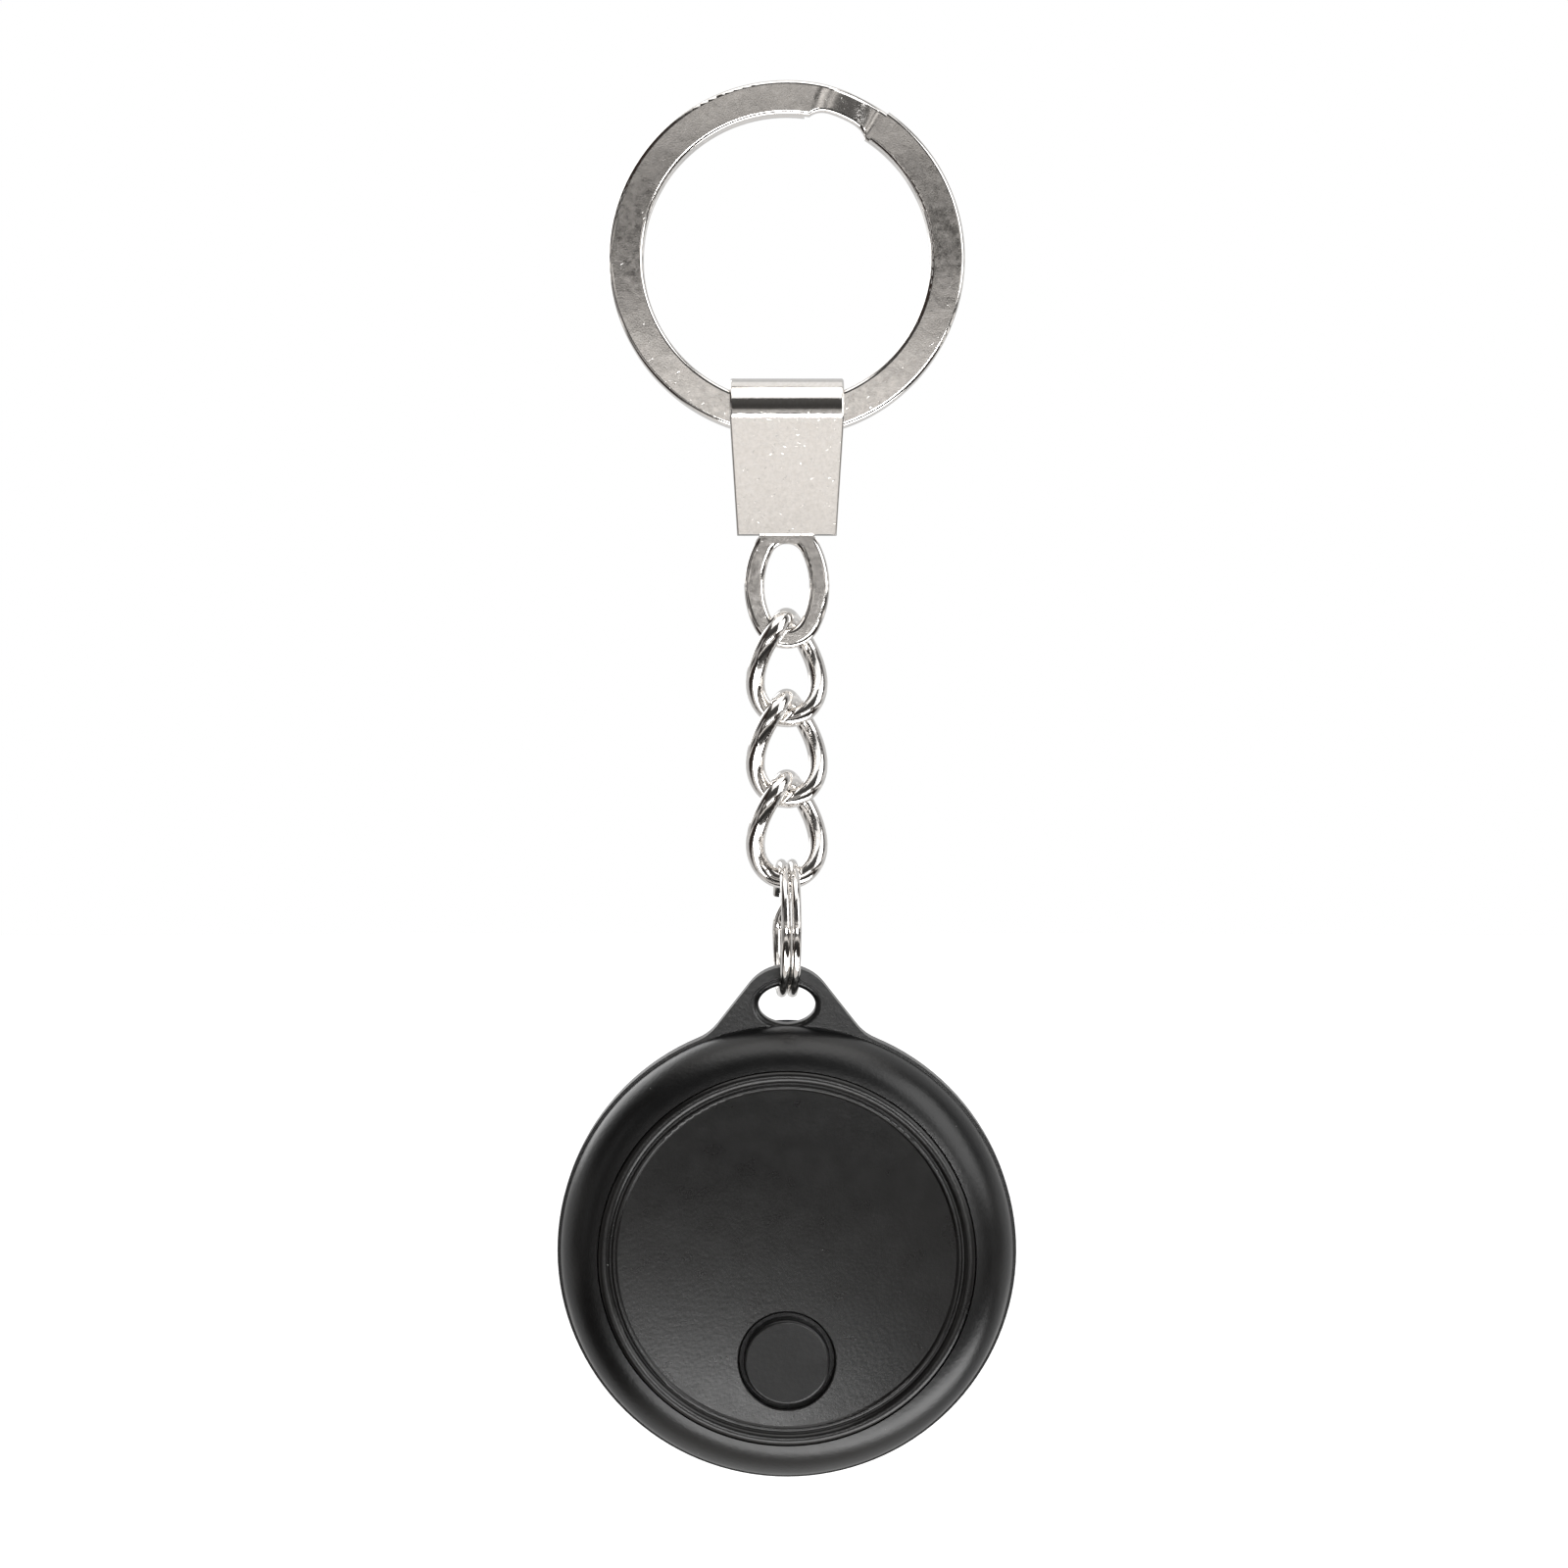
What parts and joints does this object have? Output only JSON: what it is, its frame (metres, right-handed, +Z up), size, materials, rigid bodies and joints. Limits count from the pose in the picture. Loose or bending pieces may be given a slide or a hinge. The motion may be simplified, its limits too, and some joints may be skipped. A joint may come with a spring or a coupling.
{
  "type": "bluetooth tracker tag",
  "caption": "Round black tracker tag with a dished front, a press button and a twist-off battery door, hanging by its tab from a split ring, curb links and a key ring.",
  "frame": {"origin": "middle of the key ring's eye", "axes": "+Z up along the hanging chain, the faces look towards -Y, +X to the right seen from the front"},
  "size_m": [0.0388, 0.0121, 0.1181],
  "materials": {
    "nickel": "polished",
    "black_shell": "satin",
    "black_panel": "satin",
    "black_button": "matte",
    "seal_rubber": "matte",
    "pad_rubber": "matte",
    "switch_plastic": "satin",
    "switch_metal": "satin",
    "board_green": "satin",
    "screw_steel": "satin",
    "chip_black": "satin",
    "crystal_metal": "satin",
    "antenna_ceramic": "satin",
    "passive_ceramic": "satin",
    "brass": "satin",
    "buzzer_white": "satin",
    "contact_steel": "satin",
    "cell_metal": "satin"
  },
  "bodies": {
    "key_ring": {"key_ring": "nickel"},
    "clasp": {"clasp_strap": "nickel", "clasp_tongue": "nickel"},
    "link_1": {"chain_link_1": "nickel"},
    "link_2": {"chain_link_2": "nickel"},
    "link_3": {"chain_link_3": "nickel"},
    "small_ring": {"split_ring": "nickel"},
    "case": {"front_shell": "black_shell", "front_panel": "black_panel", "rear_shell": "black_shell", "switch_body": "switch_metal", "circuit_board": "board_green", "board_screws": "screw_steel", "bluetooth_chip": "chip_black", "crystal": "crystal_metal", "chip_antenna": "antenna_ceramic", "smd_passives": "passive_ceramic", "buzzer_plate": "brass", "buzzer_ceramic": "buzzer_white", "buzzer_contacts": "contact_steel", "coin_cell": "cell_metal", "negative_contact": "contact_steel", "positive_contact": "contact_steel"},
    "button": {"button": "black_button", "button_pad": "pad_rubber", "switch_plunger": "switch_plastic"},
    "door": {"battery_door": "black_shell", "door_seal": "seal_rubber"}
  },
  "joints": [
    {"name": "clasp_swing", "type": "hinge", "parent": "key_ring", "child": "clasp", "pos_m": [0, 0, -0.01305], "axis": [1, 0, 0], "range_deg": [-60, 60]},
    {"name": "link_1_swing", "type": "hinge", "parent": "clasp", "child": "link_1", "pos_m": [0, 0, -0.03019], "axis": [0.2588, 0.9659, 0], "range_deg": [-30, 30]},
    {"name": "link_2_swing", "type": "hinge", "parent": "link_1", "child": "link_2", "pos_m": [0, 0, -0.03869], "axis": [0.9659, -0.2588, 0], "range_deg": [-35, 35]},
    {"name": "link_3_swing", "type": "hinge", "parent": "link_2", "child": "link_3", "pos_m": [0, 0, -0.04383], "axis": [0.2588, 0.9659, 0], "range_deg": [-35, 35]},
    {"name": "small_ring_swing", "type": "hinge", "parent": "link_3", "child": "small_ring", "pos_m": [0, 0, -0.05233], "axis": [0.9659, -0.2588, 0], "range_deg": [-35, 35]},
    {"name": "case_swing", "type": "hinge", "parent": "small_ring", "child": "case", "pos_m": [0, 0, -0.06281], "axis": [0, 1, 0], "range_deg": [-40, 40]},
    {"name": "button_press", "type": "slide", "parent": "case", "child": "button", "axis": [0, 0.9969, 0.0785], "range_m": [0, 0.00025], "stiffness_N_per_m": 800},
    {"name": "door_turn", "type": "hinge", "parent": "case", "child": "door", "pos_m": [0, 0.00054, -0.08373], "axis": [0, 0.9969, 0.0785], "range_deg": [0, 30]}
  ]
}
